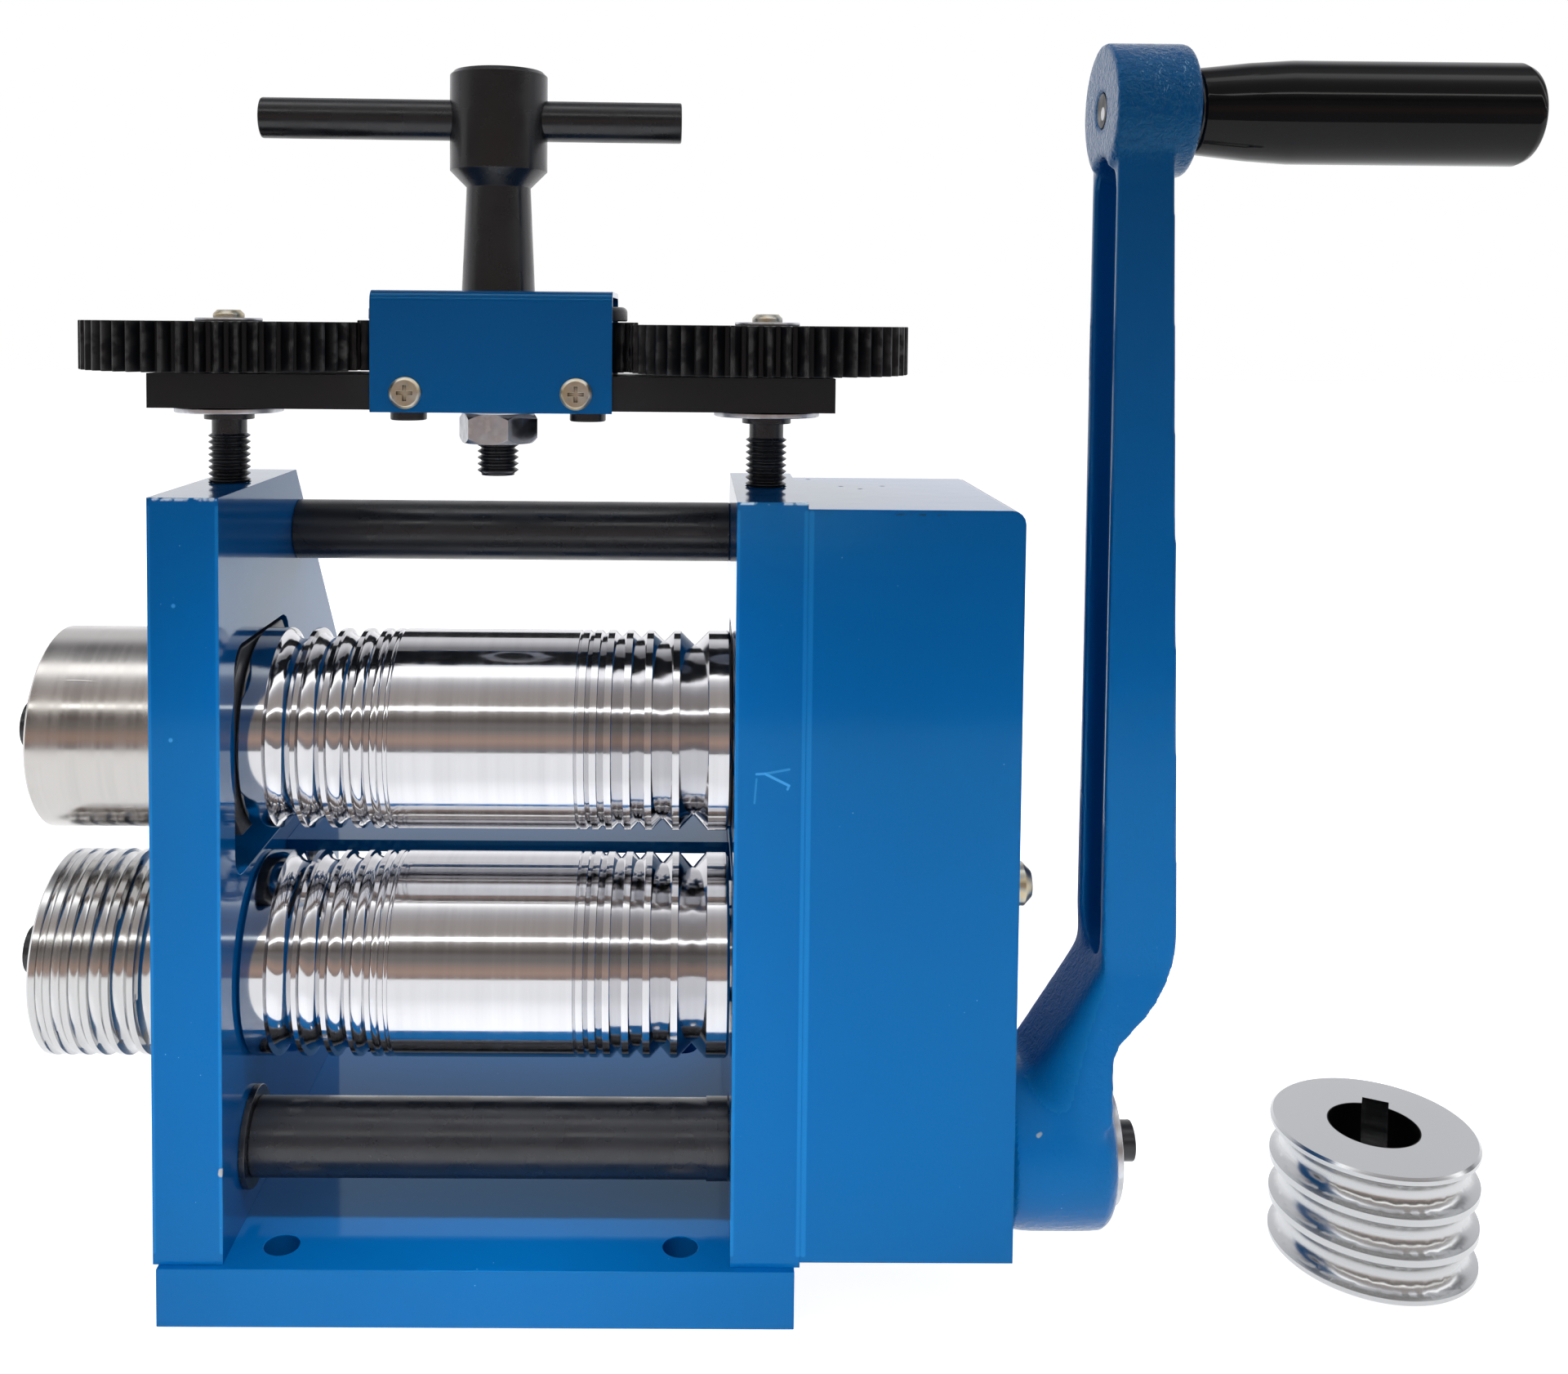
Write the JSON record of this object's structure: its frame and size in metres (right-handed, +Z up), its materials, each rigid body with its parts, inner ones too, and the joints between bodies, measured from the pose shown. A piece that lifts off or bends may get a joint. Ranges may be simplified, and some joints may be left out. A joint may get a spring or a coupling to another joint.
{
  "type": "hand cranked rolling mill",
  "caption": "Bench rolling mill: grooved rolls between blue side plates, a crank with a black grip, a geared screw bridge with a T handle, and a loose spare roll beside it.",
  "frame": {"origin": "centre of the base plate's underside, between its four bench bolt holes", "axes": "+X to the crank's side, +Y from the feeding side to the back, +Z up"},
  "size_m": [0.3484, 0.1132, 0.2861],
  "materials": {
    "blue_paint": "gloss",
    "polished_steel": "mirror polished",
    "bright_steel": "machined",
    "black_oxide": "satin black oxide",
    "zinc": "yellow zinc plate",
    "bronze": "machined",
    "black_grip": "gloss"
  },
  "bodies": {
    "frame": {"base_plate": "blue_paint", "left_side_plate": "blue_paint", "right_side_plate": "blue_paint", "tie_rod": "black_oxide", "tie_rod_screws": "black_oxide", "base_screws": "zinc", "feed_table": "blue_paint", "feed_table_screws": "zinc", "lower_roll_bushes": "bronze", "crank_bushes": "black_oxide", "gear_cover": "blue_paint", "cover_posts": "bright_steel", "cover_screws": "zinc"},
    "upper_carriage": {"bearing_blocks": "bright_steel", "block_bushes": "bronze"},
    "upper_roll_unit": {"upper_roll": "polished_steel", "upper_roll_gear": "black_oxide", "upper_roll_keys": "bright_steel", "upper_extension_roll": "polished_steel", "upper_roll_washers": "zinc", "upper_roll_bolts": "black_oxide"},
    "lower_roll_unit": {"lower_roll": "polished_steel", "lower_roll_gear": "black_oxide", "drive_gear": "black_oxide", "lower_roll_collar": "bright_steel", "lower_roll_keys": "bright_steel", "lower_extension_roll": "polished_steel", "lower_roll_washers": "zinc", "lower_roll_bolts": "black_oxide"},
    "crank": {"crank_shaft": "black_oxide", "crank_pinion": "black_oxide", "crank_keys": "bright_steel", "crank_sleeve": "bright_steel", "crank_arm": "blue_paint", "crank_washer": "zinc", "crank_bolt": "black_oxide", "grip_spindle": "bright_steel"},
    "crank_grip": {"grip": "black_grip"},
    "bridge": {"bridge_bar": "black_oxide", "bridge_cover": "blue_paint", "bridge_cover_screws": "zinc", "idler_studs": "black_oxide", "idler_screws": "black_oxide"},
    "left_idler": {"left_idler_gear": "black_oxide"},
    "right_idler": {"right_idler_gear": "black_oxide"},
    "handle": {"t_handle": "black_oxide", "tommy_bar": "black_oxide", "center_gear": "black_oxide", "center_gear_key": "bright_steel", "spindle_washers": "zinc", "spindle_nut": "zinc"},
    "left_screw": {"left_pressure_screw": "black_oxide", "left_screw_gear": "black_oxide", "left_screw_washers": "zinc", "left_cap_screw": "zinc"},
    "right_screw": {"right_pressure_screw": "black_oxide", "right_screw_gear": "black_oxide", "right_screw_washers": "zinc", "right_cap_screw": "zinc"},
    "loose_spare_roll": {"spare_roll": "polished_steel"}
  },
  "joints": [
    {"name": "crank_turn", "type": "hinge", "parent": "frame", "child": "crank", "pos_m": [0, -0.0328, 0.03017], "axis": [1, 0, 0], "continuous": true},
    {"name": "grip_spin", "type": "hinge", "parent": "crank", "child": "crank_grip", "pos_m": [0, -0.0328, 0.27097], "axis": [1, 0, 0], "continuous": true},
    {"name": "lower_roll_turn", "type": "hinge", "parent": "frame", "child": "lower_roll_unit", "pos_m": [0, -0.0212, 0.06975], "axis": [1, 0, 0], "continuous": true},
    {"name": "carriage_lift", "type": "slide", "parent": "frame", "child": "upper_carriage", "axis": [0, 0, 1], "range_m": [-0.0079, 0]},
    {"name": "upper_roll_turn", "type": "hinge", "parent": "upper_carriage", "child": "upper_roll_unit", "pos_m": [0, -0.0212, 0.1245], "axis": [1, 0, 0], "continuous": true},
    {"name": "bridge_lift", "type": "slide", "parent": "frame", "child": "bridge", "axis": [0, 0, 1], "range_m": [-0.00788, 0]},
    {"name": "handle_turn", "type": "hinge", "parent": "bridge", "child": "handle", "pos_m": [0, -0.0212, 0], "axis": [0, 0, 1], "range_deg": [-5670, 0]},
    {"name": "left_idler_turn", "type": "hinge", "parent": "bridge", "child": "left_idler", "pos_m": [-0.02125, -0.0212, 0], "axis": [0, 0, 1], "range_deg": [0, 5670]},
    {"name": "right_idler_turn", "type": "hinge", "parent": "bridge", "child": "right_idler", "pos_m": [0.02125, -0.0212, 0], "axis": [0, 0, 1], "range_deg": [0, 5670]},
    {"name": "left_screw_turn", "type": "hinge", "parent": "bridge", "child": "left_screw", "pos_m": [-0.06375, -0.0212, 0], "axis": [0, 0, 1], "range_deg": [-1890, 0]},
    {"name": "right_screw_turn", "type": "hinge", "parent": "bridge", "child": "right_screw", "pos_m": [0.06375, -0.0212, 0], "axis": [0, 0, 1], "range_deg": [-1890, 0]},
    {"name": "spare_roll_lift", "type": "slide", "parent": "frame", "child": "loose_spare_roll", "axis": [0, 0, 1], "range_m": [0, 0.12]}
  ],
  "couplings": [
    {"joint": "lower_roll_turn", "follows": "crank_turn", "ratio": -0.41026},
    {"joint": "upper_roll_turn", "follows": "crank_turn", "ratio": 0.41026},
    {"joint": "carriage_lift", "follows": "bridge_lift", "ratio": 1},
    {"joint": "handle_turn", "follows": "bridge_lift", "rad_per_m": 12566},
    {"joint": "left_idler_turn", "follows": "bridge_lift", "rad_per_m": -12566},
    {"joint": "right_idler_turn", "follows": "bridge_lift", "rad_per_m": -12566},
    {"joint": "left_screw_turn", "follows": "bridge_lift", "rad_per_m": 4188.8},
    {"joint": "right_screw_turn", "follows": "bridge_lift", "rad_per_m": 4188.8}
  ]
}
